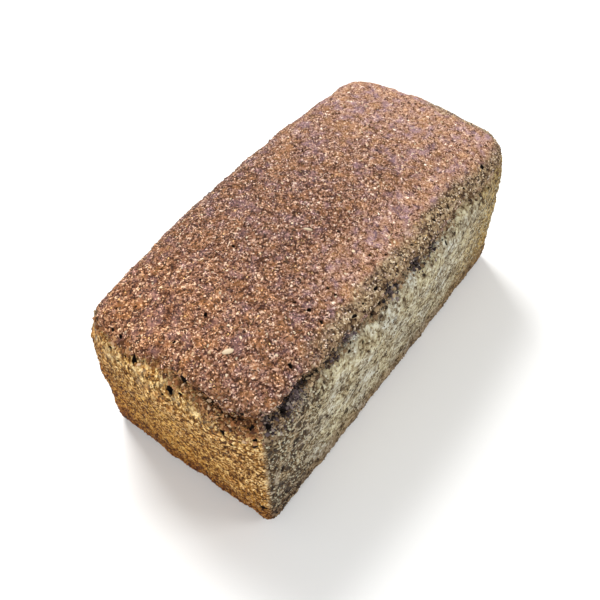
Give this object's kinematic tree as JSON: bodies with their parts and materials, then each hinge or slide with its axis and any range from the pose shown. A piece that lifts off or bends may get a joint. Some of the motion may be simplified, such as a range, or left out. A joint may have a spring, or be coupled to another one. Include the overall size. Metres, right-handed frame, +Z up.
{
  "type": "whole grain rye tin loaf",
  "caption": "Whole, brick-shaped rye loaf baked in a tin, with a slightly domed, torn-edged top crust and grain flakes baked into it.",
  "frame": {"origin": "centre of the flat base, at the height that the loaf stands on", "axes": "+X along the loaf, +Y across it, +Z up; the end with the deepest tear is at -X and the plainest long side at -Y"},
  "size_m": [0.216, 0.1115, 0.093],
  "materials": {
    "rye_crust": "matte, rough baked crust"
  },
  "bodies": {
    "root": {"loaf": "rye_crust"}
  },
  "joints": []
}
